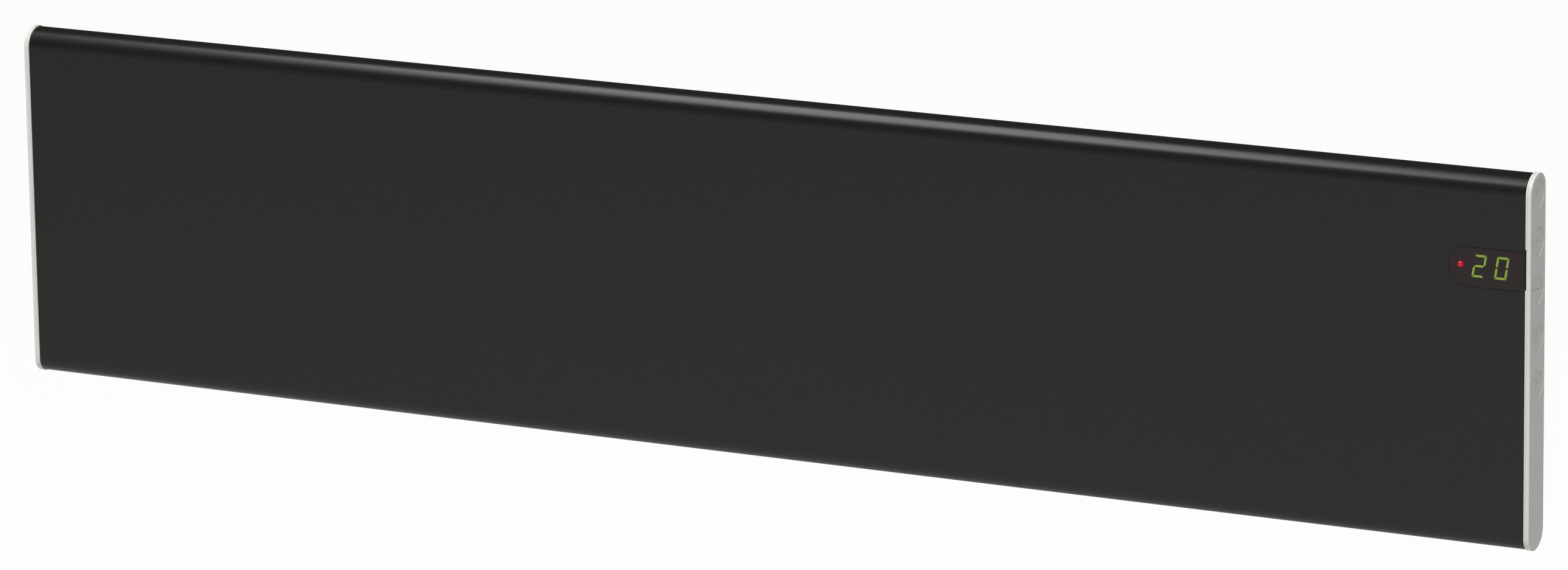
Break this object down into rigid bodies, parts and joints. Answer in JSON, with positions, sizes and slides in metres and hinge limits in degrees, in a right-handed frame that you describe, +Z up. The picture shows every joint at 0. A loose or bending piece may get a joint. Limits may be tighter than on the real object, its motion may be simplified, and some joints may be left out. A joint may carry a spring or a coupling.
{
  "type": "wall panel convector heater",
  "caption": "Slim wide convector heater panel with rounded edges, end caps, a side row of push buttons and a small lit display, hinged on a wall bracket.",
  "frame": {"origin": "centre of the wall bracket's four screw holes, on the wall plane", "axes": "+X along the heater towards the end with the buttons, +Y into the wall, +Z up; the front faces -Y"},
  "size_m": [1.27, 0.0541, 0.275],
  "materials": {
    "panel_paint": "fine satin black powder coat",
    "back_steel": "bare galvanised sheet, fine spangle",
    "cap_plastic": "warm light grey moulded plastic",
    "frame_black": "black moulded plastic",
    "smoked_lens": "smoked glossy window",
    "digit_light": "lit green",
    "led_light": "lit red",
    "module_black": "matt black",
    "board": "green circuit board",
    "component": "black moulding",
    "blue_part": "blue",
    "nylon": "natural nylon",
    "tray_plastic": "grey flame-retardant plastic",
    "aluminium": "extruded",
    "sheath": "stainless sheath",
    "ceramic": "unglazed steatite",
    "zinc_steel": "zinc plated",
    "bracket_steel": "black powder coat",
    "spring_steel": "bright spring steel",
    "rubber": "soft black rubber",
    "gland_nylon": "black nylon",
    "lead_black": "black insulation",
    "lead_white": "white insulation",
    "lead_earth": "green and yellow insulation"
  },
  "bodies": {
    "wall_bracket_set": {"wall_bracket": "bracket_steel", "spring_clip_right": "spring_steel", "spring_clip_left": "spring_steel", "clip_rivets": "zinc_steel", "spacer_buffers": "rubber"},
    "heater": {"front_panel": "panel_paint", "back_panel": "back_steel", "left_end_frame": "frame_black", "left_cap_plate": "cap_plastic", "left_cap_cover": "cap_plastic", "right_end_frame": "frame_black", "right_cap_plate": "cap_plastic", "right_cap_cover": "cap_plastic", "display_lens": "smoked_lens", "digit_tens": "digit_light", "digit_units": "digit_light", "display_module": "module_black", "status_led": "led_light", "display_board": "board", "button_board": "board", "tact_switches": "component", "electronics_tray": "tray_plastic", "control_board": "board", "power_relay": "blue_part", "supply_transformer": "component", "capacitors": "component", "terminal_block": "nylon", "element_fins": "aluminium", "element_rod": "sheath", "element_bushes": "ceramic", "element_terminals": "zinc_steel", "element_holder_left": "zinc_steel", "element_holder_right": "zinc_steel", "heat_shield": "zinc_steel", "thermal_cutout": "zinc_steel", "room_sensor": "component", "cord_gland": "gland_nylon", "earth_screw": "zinc_steel", "casing_screws": "zinc_steel", "cap_screws": "zinc_steel", "element_lead_left": "lead_white", "element_lead_right": "lead_white", "sensor_lead": "lead_black", "earth_lead": "lead_earth", "hinge_yoke_right": "bracket_steel", "hinge_yoke_left": "bracket_steel", "catch_yoke_right": "bracket_steel", "catch_yoke_left": "bracket_steel", "hinge_pin_right": "zinc_steel", "hinge_pin_left": "zinc_steel", "catch_pin_right": "zinc_steel", "catch_pin_left": "zinc_steel"},
    "program_key": {"program_button": "cap_plastic"},
    "plus_key": {"plus_button": "cap_plastic"},
    "minus_key": {"minus_button": "cap_plastic"},
    "five_key": {"five_button": "cap_plastic"},
    "seven_key": {"seven_button": "cap_plastic"}
  },
  "joints": [
    {"name": "tilt", "type": "hinge", "parent": "wall_bracket_set", "child": "heater", "pos_m": [0, -0.018, -0.095], "axis": [1, 0, 0], "range_deg": [0, 20]},
    {"name": "press_program", "type": "slide", "parent": "heater", "child": "program_key", "axis": [-1, 0, 0], "range_m": [0, 0.0008], "stiffness_N_per_m": 2500, "springref_m": -0.0004},
    {"name": "press_plus", "type": "slide", "parent": "heater", "child": "plus_key", "axis": [-1, 0, 0], "range_m": [0, 0.0008], "stiffness_N_per_m": 2500, "springref_m": -0.0004},
    {"name": "press_minus", "type": "slide", "parent": "heater", "child": "minus_key", "axis": [-1, 0, 0], "range_m": [0, 0.0008], "stiffness_N_per_m": 2500, "springref_m": -0.0004},
    {"name": "press_five", "type": "slide", "parent": "heater", "child": "five_key", "axis": [-1, 0, 0], "range_m": [0, 0.0008], "stiffness_N_per_m": 2500, "springref_m": -0.0004},
    {"name": "press_seven", "type": "slide", "parent": "heater", "child": "seven_key", "axis": [-1, 0, 0], "range_m": [0, 0.0008], "stiffness_N_per_m": 2500, "springref_m": -0.0004}
  ]
}
